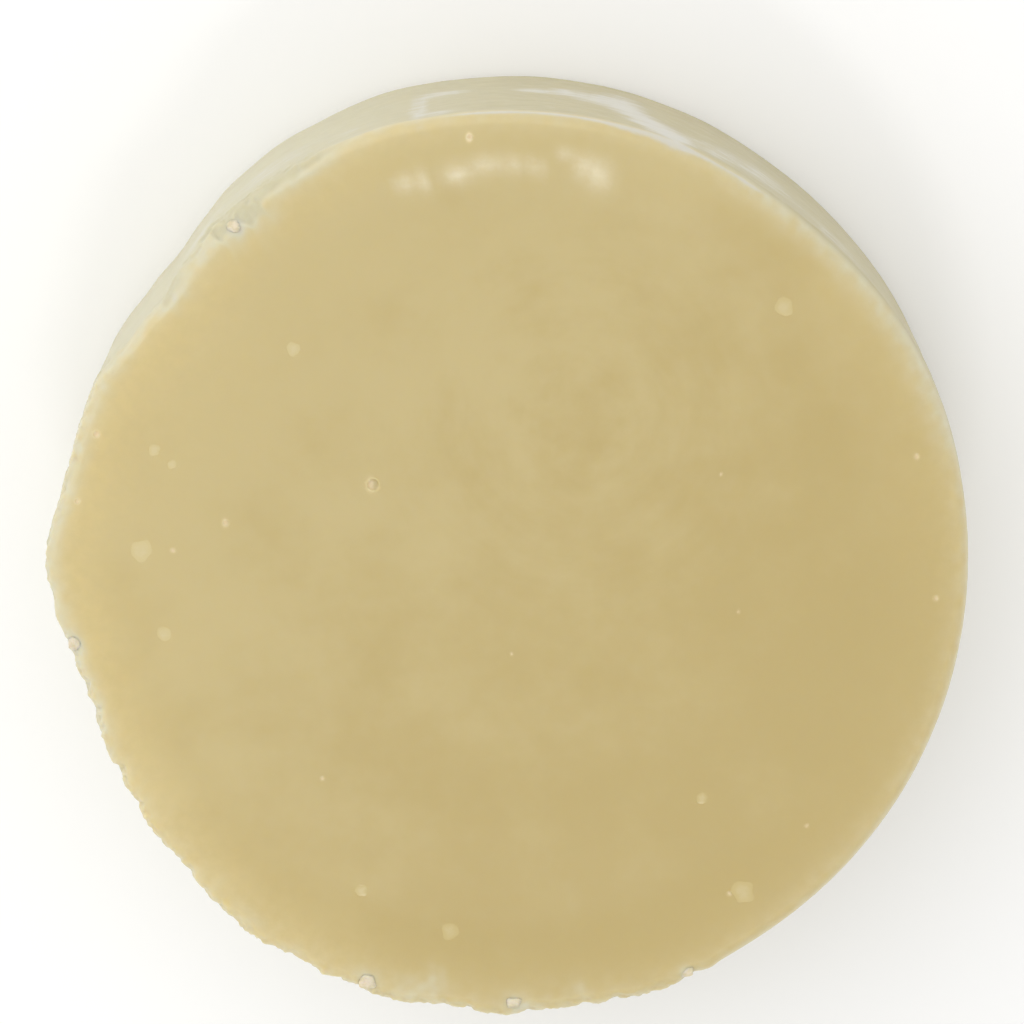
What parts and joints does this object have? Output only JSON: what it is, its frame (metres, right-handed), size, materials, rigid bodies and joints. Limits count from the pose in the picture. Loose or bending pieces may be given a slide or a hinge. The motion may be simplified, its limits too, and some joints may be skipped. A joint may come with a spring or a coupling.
{
  "type": "shaving soap puck",
  "caption": "Round hard puck of cream shaving soap that lies in a shaving mug or bowl and is lathered with a wet brush.",
  "frame": {"origin": "centre of the base, on the mould's axis", "axes": "+Z is the puck's axis, from the base to the lathering face. +X points to the smooth side of the rim, away from the slumped soap on the -X side, and +Y to the cleanest stretch of wall."},
  "size_m": [0.0655, 0.0654, 0.0241],
  "materials": {
    "soap": "hard cream-tan soap, slightly translucent, satin",
    "stearic_fat": "pale waxy fat set in the soap, satin",
    "soap_crumb": "dry pale soap crumb, matt"
  },
  "bodies": {
    "root": {"soap_body": "soap", "stearic_fleck_01": "stearic_fat", "stearic_fleck_02": "stearic_fat", "stearic_fleck_03": "stearic_fat", "stearic_fleck_04": "stearic_fat", "stearic_fleck_05": "stearic_fat", "stearic_fleck_06": "stearic_fat", "stearic_fleck_07": "stearic_fat", "stearic_fleck_08": "stearic_fat", "stearic_fleck_09": "stearic_fat", "stearic_fleck_10": "stearic_fat", "rim_crumb_01": "soap_crumb", "rim_crumb_02": "soap_crumb", "rim_crumb_03": "soap_crumb", "rim_crumb_04": "soap_crumb", "rim_crumb_05": "soap_crumb"}
  },
  "joints": []
}
